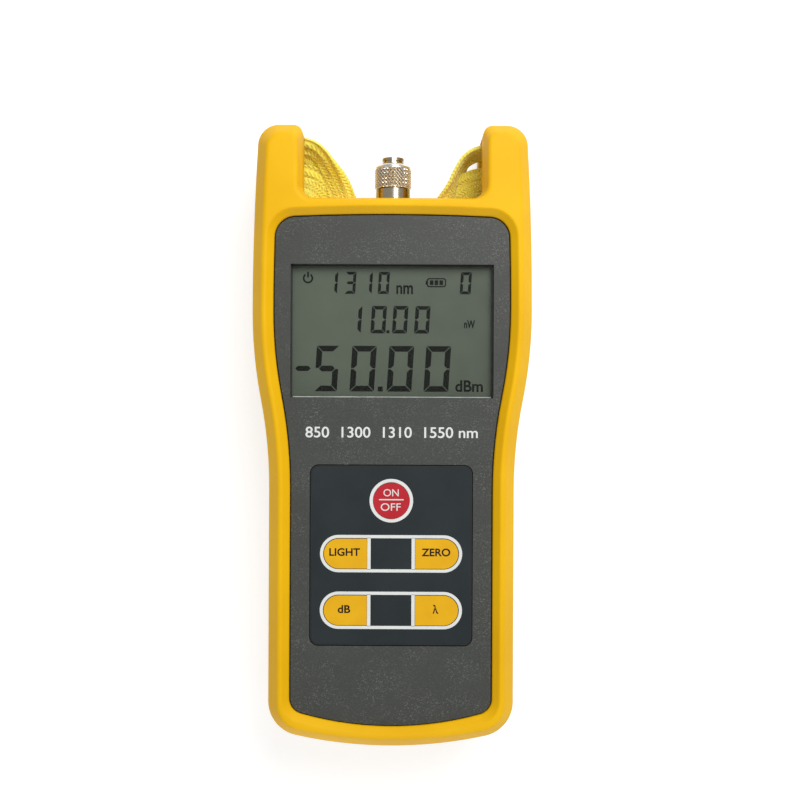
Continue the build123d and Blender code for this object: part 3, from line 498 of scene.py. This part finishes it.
# %% Flecked front panel
panel, tree, shader, place = start_finish("flecked_panel")
patches = cloud(tree, place, 12.0)
base = mix(tree, patches, screen(64, 66, 63), screen(72, 74, 71))
stretch = add(tree, "ShaderNodeMapping", {"Vector": place, "Scale": (1.0, 1.35, 1.0)}).outputs["Vector"]
fleck = remap(tree, cloud(tree, stretch, 0.38, detail=1.0), 0.57, 0.68, 0.0, 1.0)
drift = remap(tree, cloud(tree, place, 8.0, detail=3.0), 0.40, 0.62, 0.25, 1.0)
pale = mix(tree, calc(tree, "MULTIPLY", fleck, drift), base, screen(100, 102, 99))
pit = remap(tree, cloud(tree, stretch, 0.42, detail=1.0), 0.38, 0.30, 0.0, 0.5)
tree.links.new(mix(tree, pit, pale, screen(46, 47, 45)), shader.inputs["Base Color"])
grain = cloud(tree, place, 0.35, detail=2.0)
tree.links.new(remap(tree, grain, 0.3, 0.7, 0.38, 0.48), shader.inputs["Roughness"])
shader.inputs["Specular IOR Level"].default_value = 0.3
emboss(tree, shader, grain, 0.015)
wear(["front_case"], panel)

# %% [markdown]
# Turned metal carries fine rings from the lathe. Noise squeezed hard along the axis, the Y of the frame,
# draws them: it hardly changes round the part and changes quickly along it.

# %% Metal finishes
def turned(name, low, high, gloss, ring_mm=0.12, depth_mm=0.004, shade_grooves=False):
    """Metal with lathe rings about Y: noise that changes 40 times faster along Y than round it.

    On a grooved piece the grooves are painted darker, as painted shade, where the piece's own mark says so.
    """
    finish, tree, shader, place = start_finish(name)
    squeezed = add(tree, "ShaderNodeMapping", {"Vector": place, "Scale": (0.025, 1.0, 0.025)}).outputs["Vector"]
    rings = cloud(tree, squeezed, ring_mm, detail=2.0)
    blush = cloud(tree, place, 2.5, detail=3.0)
    colour = mix(tree, blush, screen(*low), screen(*high))
    if shade_grooves:
        mark = add(tree, "ShaderNodeAttribute", attribute_name="groove").outputs["Fac"]
        # painted shade: the colour darkens with the cut depth, deepest in the knurl grooves
        colour = mix(tree, remap(tree, mark, 0.45, 1.0, 0.0, 1.0), colour, screen(116, 108, 94))
    tree.links.new(colour, shader.inputs["Base Color"])
    tree.links.new(remap(tree, rings, 0.3, 0.7, *gloss), shader.inputs["Roughness"])
    shader.inputs["Metallic"].default_value = 1.0
    emboss(tree, shader, rings, depth_mm)
    return finish


nickel = turned("turned_nickel", (172, 160, 136), (190, 178, 154), (0.14, 0.24))
knurl_nickel = turned("knurled_nickel", (232, 225, 212), (242, 236, 224), (0.22, 0.32), shade_grooves=True)
wear(["detector_barrel", "barrel_washer", "barrel_nut", "adapter_nose"], nickel)
plain_steel = turned("plain_steel", (150, 150, 150), (172, 172, 172), (0.28, 0.4), 0.2)
wear(["case_screws", "board_screws", "key_domes", "crystal_can", "photodiode"], plain_steel)
spring_metal = turned("spring_metal", (196, 180, 140), (210, 196, 158), (0.25, 0.35), 0.2)
wear(["battery_springs", "battery_contacts"], spring_metal)

# %% [markdown]
# The adapter nut is knurled so that fingers can turn it. Knurling is two families of helical grooves,
# one leaning each way, and what stands between them are small diamonds.
# On a surface of revolution that is one formula: the radius falls by the knurl depth
# wherever either groove is near, and the profile runs out over the rim and back down the bore.

# %% Knurled adapter nut
def knurled_nut(axis_z, low, high, radius, lip, bore, starts=30, depth=0.38):
    """Revolved profile about Y with diamond knurling.

    Along the profile the pair (y, r) goes up the outside, over the rim and down the bore.
    On the outside r loses depth * (1 - min(t1, t2)), with t1 and t2 triangle waves, 0 in a groove and
    1 on a ridge, of (starts * angle +- k * y) / 2 pi, so both families lean at 45 degrees.
    """
    first, last = low + 0.35, high - 1.35
    skirt = np.array([(low, bore), (low, radius - 0.45), (low + 0.12, radius - 0.30)])
    outside = np.column_stack([np.linspace(first, last, 44), np.full(44, radius)])
    turn = np.linspace(0.0, math.pi / 2, 9)[1:]
    shoulder = np.column_stack([last + 0.35 + 1.0 * np.sin(turn), radius - 1.15 + 1.0 * np.cos(turn)])
    rim = np.array([(last + 0.12, radius - 0.18), (last + 0.30, radius - 0.20)])
    inside = np.array([(high, lip + 0.15), (high - 0.12, lip), (high - 0.9, lip), (high - 0.9, bore)])
    profile = np.vstack([skirt, outside, rim, shoulder, inside])
    angle = np.linspace(0.0, 2 * math.pi, starts * 8, endpoint=False)
    y, r = profile[:, :1], profile[:, 1:]
    lean = starts / radius
    wave_one = np.abs(((starts * angle + lean * y) / (2 * math.pi)) % 1.0 - 0.5) * 2
    wave_two = np.abs(((starts * angle - lean * y) / (2 * math.pi)) % 1.0 - 0.5) * 2
    knurled = np.zeros(len(profile))
    knurled[len(skirt):len(skirt) + len(outside)] = 1.0
    cut = knurled[:, None] * (1.0 - np.minimum(wave_one, wave_two))
    r = r - depth * cut
    points = np.stack([r * np.sin(angle), np.broadcast_to(y, r.shape), axis_z + r * np.cos(angle)], axis=-1)
    return (points.reshape(-1, 3), [grid_faces(len(profile), len(angle), closed_rows=True)]), cut.ravel()


ADAPTER_Z, NUT_RADIUS, NUT_LIP, NUT_BORE = 20.5, 5.3, 3.45, 4.5
nut_low, nut_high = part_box("adapter_nut")
nut_shape, nut_marks = knurled_nut(ADAPTER_Z, nut_low[1] / MM, nut_high[1] / MM, NUT_RADIUS, NUT_LIP, NUT_BORE)
nut = new_piece("knurled_adapter_nut", nut_shape, "fibre_nut", knurl_nickel, marks=nut_marks)
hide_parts("adapter_nut")
print("knurled nut:", len(nut.data.polygons), "faces")

# %% [markdown]
# The display is a stack: a grey-green glass cell, and over it a clear window.
# The solid window touches the cell, so a pane of the same outline, a tenth of a millimetre off the glass,
# takes its place and leaves room for the dark segments, which are thin plates on the cell.

# %% Display glass and window pane
lcd, tree, shader, place = start_finish("display_glass")
along = add(tree, "ShaderNodeSeparateXYZ", {"Vector": place})
# painted shade: the glass cell is painted darker from its left edge to its right
painted_shade_across = remap(tree, along.outputs["X"], -0.028, 0.029, 0.0, 1.0)
tone = mix(tree, painted_shade_across, screen(93, 102, 88), screen(83, 91, 78))
mottle = remap(tree, cloud(tree, place, 7.0, detail=4.0), 0.35, 0.65, 0.0, 0.35)
tree.links.new(mix(tree, mottle, tone, screen(99, 107, 93)), shader.inputs["Base Color"])
film_grain = cloud(tree, place, 0.18, detail=2.0)
tree.links.new(remap(tree, film_grain, 0.3, 0.7, 0.32, 0.42), shader.inputs["Roughness"])
shader.inputs["Specular IOR Level"].default_value = 0.3
emboss(tree, shader, film_grain, 0.004)
wear(["lcd_panel"], lcd)

pane, tree, shader, place = start_finish("clear_window")
haze = cloud(tree, place, 6.0, detail=4.0)
tree.links.new(mix(tree, haze, screen(70, 76, 70), screen(92, 98, 90)), shader.inputs["Base Color"])
tree.links.new(remap(tree, haze, 0.3, 0.7, 0.05, 0.10), shader.inputs["Roughness"])
shader.inputs["Specular IOR Level"].default_value = 0.2
shader.inputs["Alpha"].default_value = 0.06


def plates(outlines, low, high):
    """Thin prisms on convex outlines, an array (count, corners, 2): a floor, a lid and a wall per side."""
    count, corners, _ = outlines.shape
    floor_points = np.dstack([outlines, np.full((count, corners), low)])
    lid_points = np.dstack([outlines, np.full((count, corners), high)])
    points = np.concatenate([floor_points, lid_points], axis=1).reshape(-1, 3)
    start = (np.arange(count) * 2 * corners)[:, None]
    k = np.arange(corners)
    after = (k + 1) % corners
    walls = np.stack([k, after, after + corners, k + corners], axis=-1)[None] + start[..., None]
    return points, [start + k[::-1], start + corners + k, walls.reshape(-1, 4)]


def rounded_oblong(width, height, radius, centre=(0.0, 0.0), steps=12):
    """Outline of an oblong with round corners: four quarter circles, one about each corner's centre."""
    quarter = np.linspace(0.0, math.pi / 2, steps)
    angle = (np.arange(4)[:, None] * math.pi / 2 + quarter).ravel()
    side_x = np.repeat([1, -1, -1, 1], steps) * (width / 2 - radius)
    side_y = np.repeat([1, 1, -1, -1], steps) * (height / 2 - radius)
    return np.column_stack([side_x + radius * np.cos(angle), side_y + radius * np.sin(angle)]) + centre


pane_low, pane_high = (np.array(c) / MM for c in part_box("display_window"))
pane_size = pane_high - pane_low
pane_outline = rounded_oblong(pane_size[0], pane_size[1], 1.0, (pane_low[:2] + pane_high[:2]) / 2)
pane_shape = plates(pane_outline[None], pane_low[2] + 0.12, pane_high[2])
window = new_piece("window_pane", pane_shape, "meter", pane)
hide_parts("display_window")
print("pane", pane_size.round(2))

# %% [markdown]
# A seven-segment digit is seven short bars, a hair apart, leaning a little to the right.
# Top and bottom bars are mitred into the upright ones, and the middle bar ends in two points.
# Four of the bars are mirror pictures of one upright, so three outlines of six corners make all seven.

# %% Segments of the display
LIT = {"0": "abcdef", "1": "bc", "3": "abcdg", "5": "acdfg", "-": "g"}
LEAN = 0.06


def digit(sign, left, base, width, height, stroke):
    """Six-cornered outlines of one digit's bars, in the box left..left + width, base..base + height."""
    gap, half, middle = 0.07 * stroke + 0.04, 0.5 * stroke, 0.5 * height
    top = np.array([(gap, height), (width / 2, height), (width - gap, height), (width - stroke - gap, height - stroke),
                    (width / 2, height - stroke), (stroke + gap, height - stroke)])
    post = np.array([(0, height - gap), (stroke, height - stroke - gap), (stroke, middle + half + gap),
                     (half, middle + gap), (0, middle + gap), (0, 0.75 * height)])
    dash = np.array([(half + gap, middle), (stroke + gap, middle + half), (width - stroke - gap, middle + half),
                     (width - half - gap, middle), (width - stroke - gap, middle - half),
                     (stroke + gap, middle - half)])
    over, across = (0, height), (width, 0)
    bars = {"a": top, "d": over + top * (1, -1), "f": post, "e": over + post * (1, -1),
            "b": across + post * (-1, 1), "c": (width, height) - post, "g": dash}
    flat = np.stack([bars[bar] for bar in LIT[sign]])
    flat[..., 0] += left + LEAN * (flat[..., 1] - middle)
    flat[..., 1] += base
    after = np.roll(flat, -1, axis=1)
    area = np.sum(flat[..., 0] * after[..., 1] - flat[..., 1] * after[..., 0], axis=1)
    flat[area < 0] = flat[area < 0, ::-1]
    return flat


top_digits = (("1", -18.56), ("3", -13.42), ("1", -8.76), ("0", -3.95), ("0", 19.2))
middle_digits = (("1", -12.85), ("0", -5.93), ("0", 0.16), ("0", 6.4))
large_digits = (("5", -21.6, 6.4), ("0", -11.6, 6.9), ("0", -1.13, 7.0), ("0", 9.3, 7.0))
row_one = [digit(sign, x, 39.94, 3.1, 6.22, 0.82) for sign, x in top_digits]
row_two = [digit(sign, x, 28.8, 4.2, 7.75, 1.02) for sign, x in middle_digits]
row_three = [digit(sign, x, 12.37, width, 12.88, 1.6) for sign, x, width in large_digits]
minus = digit("-", -28.2, 12.37, 6.1, 12.88, 1.46)
segments = np.vstack(row_one + row_two + row_three + [minus])
dots = np.stack([rounded_oblong(s, s, 0.1, c, 3) for s, c in ((0.85, (-1.2, 29.25)), (1.4, (-3.3, 13.1)))])
BATTERY_AT, POWER_AT = (12.45, 43.18), (-23.84, 44.3)
battery_bars = np.stack([rounded_oblong(1.0, 1.3, 0.05, (x, BATTERY_AT[1]), 3) for x in (11.1, 12.45, 13.8)])


def ink_layer(surface):
    """Bottom and top of a print: it starts a hundredth of a millimetre inside the surface it lies on."""
    return surface - 0.01, surface + 0.03


def band(inner, outer, low, high, closed=True):
    """Flat band between two outlines: the four corners of a thin oblong carried from point to point."""
    floor_in, floor_out = (np.column_stack([line, np.full(len(line), low)]) for line in (inner, outer))
    lid_in, lid_out = (np.column_stack([line, np.full(len(line), high)]) for line in (inner, outer))
    points = np.stack([floor_in, floor_out, lid_out, lid_in], axis=1).reshape(-1, 3)
    groups = [grid_faces(len(inner), 4, closed_rows=closed)]
    if not closed:
        groups += [np.arange(4)[None, ::-1], np.arange(len(points) - 4, len(points))[None, :]]
    return points, groups


def arc(radius, start, end, centre, steps=40):
    """Points of a circle from one angle to another, in degrees."""
    angle = np.radians(np.linspace(start, end, steps))
    return np.column_stack([radius * np.cos(angle), radius * np.sin(angle)]) + centre


GLASS_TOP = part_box("lcd_panel")[1][2] / MM
glass_ink = ink_layer(GLASS_TOP)
case_in, case_out = rounded_oblong(4.8, 1.9, 0.45, BATTERY_AT), rounded_oblong(5.45, 2.56, 0.7, BATTERY_AT)
battery_case = band(case_in, case_out, *glass_ink)
battery_tip = plates(rounded_oblong(0.4, 1.1, 0.1, (9.6, BATTERY_AT[1]), 3)[None], *glass_ink)
power_arc = band(arc(0.98, 125, 415, POWER_AT), arc(1.48, 125, 415, POWER_AT), *glass_ink, closed=False)
power_bar = plates(rounded_oblong(0.5, 1.6, 0.05, (POWER_AT[0], 45.3), 3)[None], *glass_ink)
shapes = [plates(outlines, *glass_ink) for outlines in (segments, dots, battery_bars)]
shapes += [battery_case, battery_tip, power_arc, power_bar]
segment_ink = moulded("segment_ink", (5, 8, 6), (10, 13, 10), (0.45, 0.55), 3.0, 0.2, 0.002, 0.1)
figures = new_piece("display_figures", join(shapes), "meter", segment_ink)
print(figures.name + ":", len(segments), "segments")

# %% [markdown]
# Along three sides of the pane's recess a thin black strip is painted shade, standing for the shadow at the recess
# walls. Along the fourth, the near one, a pale glossy strip is a painted highlight, standing for the light caught on
# the clear sheet's edge.

# %% Painted shade and highlight round the window
SHADE_STRIP_WIDE = 0.34
painted_strip_layer = pane_high[2] - 0.02, pane_high[2] + 0.12
shade_strip_sides = np.stack([rounded_oblong(SHADE_STRIP_WIDE, 37.1, 0.05, (-28.2, 29.3), 3),
                       rounded_oblong(SHADE_STRIP_WIDE, 37.1, 0.05, (28.2, 29.3), 3),
                       rounded_oblong(56.7, SHADE_STRIP_WIDE, 0.05, (0.0, 47.75), 3)])
# painted shade: thin black strips where the recess walls throw shadow
shade_strips = new_piece("window_shade_strips", plates(shade_strip_sides, *painted_strip_layer), "meter", frame_plastic)
# painted highlight: a pale glossy strip for the light caught on the pane's near edge
edge_highlight_finish = moulded("painted_pane_edge_highlight", (150, 156, 148), (206, 210, 204), (0.12, 0.2), 5.0, 0.4, 0.01, 0.6)
edge_highlight_shape = plates(rounded_oblong(55.6, 0.24, 0.1, (0.0, 10.82), 4)[None], *painted_strip_layer)
pane_edge_highlight = new_piece("pane_edge_highlight", edge_highlight_shape, "meter", edge_highlight_finish)
print("seal and edge:", len(shade_strips.data.polygons) + len(pane_edge_highlight.data.polygons), "faces")

# %% [markdown]
# Letters come from Blender's own font. The text becomes a mesh first, and only then is it fitted:
# its outline is stretched to the box that the printing fills and laid on the surface as a thin layer of ink.

# %% Lettering
def lettering(name, words, box, low, high, body, slot, finish, bold=0.0):
    """Text as a mesh: x and y are stretched onto the box (left, bottom, right, top), z onto low..high.

    bold thickens the strokes, in shares of the letters' own size.
    """
    text = bpy.data.curves.new(name, "FONT")
    text.body = words
    text.extrude = 0.5
    text.offset = bold
    holder = bpy.data.objects.new(name + "_text", text)
    mesh = bpy.data.meshes.new_from_object(holder)
    bpy.data.objects.remove(holder)
    points = mesh_points(mesh)
    corner = points.min(axis=0)
    points = (points - corner) / (points.max(axis=0) - corner)
    points = np.array([box[0], box[1], low]) + points * np.array([box[2] - box[0], box[3] - box[1], high - low])
    mesh.vertices.foreach_set("co", (points * MM).ravel())
    return ride_along(name, mesh, body, finish)


units = (("display_nm", "nm", (1.13, 39.94, 5.82, 42.44), 0.021),
         ("display_nw", "nW", (20.3, 30.3, 23.4, 32.6), 0.032),
         ("display_dbm", "dBm", (17.9, 12.37, 25.7, 15.65), 0.022))
unit_signs = [lettering(name, words, box, *glass_ink, "meter", "lcd_glass", segment_ink, bold)
              for name, words, box, bold in units]
print("unit signs:", [piece.name for piece in unit_signs])

# %% [markdown]
# The keypad film is printed white: a ring round the power key, and one long frame round each pair of keys
# with two upright bars between them. The frames are bands between two capsule outlines.
# A narrow black band round the edge of the film is painted shade, standing for the dark gap between the film and its
# recess.

# %% Print on the keypad film
white_ink = moulded("white_ink", (218, 221, 218), (228, 230, 227), (0.5, 0.62), 5.0, 0.25, 0.004, 0.3)
film_low, film_high = (np.array(corner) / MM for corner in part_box("keypad_overlay"))
film_ink = ink_layer(film_high[2])
POWER_KEY_AT = (0.0, -18.2)
prints = []
for row in (-33.05, -48.9):
    outer = rounded_oblong(39.8, 10.45, 5.22, (0.0, row), 24)
    inner = rounded_oblong(38.05, 8.7, 4.34, (0.0, row), 24)
    prints.append(band(inner, outer, *film_ink))
    bars = np.stack([rounded_oblong(0.95, 8.9, 0.05, (side * 6.2, row), 3) for side in (-1, 1)])
    prints.append(plates(bars, *film_ink))
power_ring = band(arc(5.17, 0, 356.25, POWER_KEY_AT, 96), arc(6.1, 0, 356.25, POWER_KEY_AT, 96), *film_ink)
keypad_print = new_piece("keypad_print", join(prints + [power_ring]), "meter", white_ink)
film_size, film_centre = (film_high - film_low)[:2], (film_low + film_high)[:2] / 2
border_in = rounded_oblong(*(film_size - 0.8), 1.9, film_centre)
border_out = rounded_oblong(*(film_size - 0.1), 2.25, film_centre)
# painted shade: a black band round the film's edge for the shadowed gap round it
edge_shade_band = band(border_in, border_out, *film_ink)
film_edge_shade = new_piece("film_edge_shade", edge_shade_band, "meter", frame_plastic)
print("keypad print:", len(keypad_print.data.polygons) + len(film_edge_shade.data.polygons), "faces")

# %% [markdown]
# Each legend rides on its own key, so it goes down with it. The words are generic: they name what a key does.
# The row of numbers on the panel lists the common wavelengths of fibre links.

# %% Legends on the keys and the panel
brown_ink = moulded("brown_ink", (26, 8, 4), (34, 14, 8), (0.5, 0.6), 3.0, 0.2, 0.003, 0.25)
KEY_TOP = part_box("power_key")[1][2] / MM
key_ink = ink_layer(KEY_TOP)
legends = [
    ("power_on_sign", "ON", (-2.2, -16.95, 2.05, -14.95), "power_button", "key_red", white_ink, 0.0),
    ("power_off_sign", "OFF", (-2.95, -21.0, 2.65, -18.9), "power_button", "key_red", white_ink, 0.0),
    ("light_sign", "LIGHT", (-17.3, -33.7, -8.7, -31.5), "light_button", "key_yellow", brown_ink, 0.022),
    ("zero_sign", "ZERO", (8.55, -33.7, 16.55, -31.5), "zero_button", "key_yellow", brown_ink, 0.022),
    ("decibel_sign", "dB", (-14.85, -49.65, -11.35, -47.45), "decibel_button", "key_yellow", brown_ink, 0.022),
    ("wavelength_sign", "λ", (11.7, -49.75, 13.3, -47.25), "wavelength_button", "key_yellow", brown_ink, 0.022),
]
signs = [lettering(name, words, box, *key_ink, *rest) for name, words, box, *rest in legends]
rule = plates(rounded_oblong(6.9, 0.32, 0.1, (0.0, -17.9), 4)[None], *key_ink)
signs.append(new_piece("power_rule", rule, "power_button", white_ink))
PANEL_TOP = 31.0
signs.append(lettering("panel_numbers", "850  1300  1310  1550 nm", (-24.1, -0.6, 24.1, 2.45), *ink_layer(PANEL_TOP),
                       "meter", "panel_plastic", white_ink, 0.01))
print("signs:", len(signs))
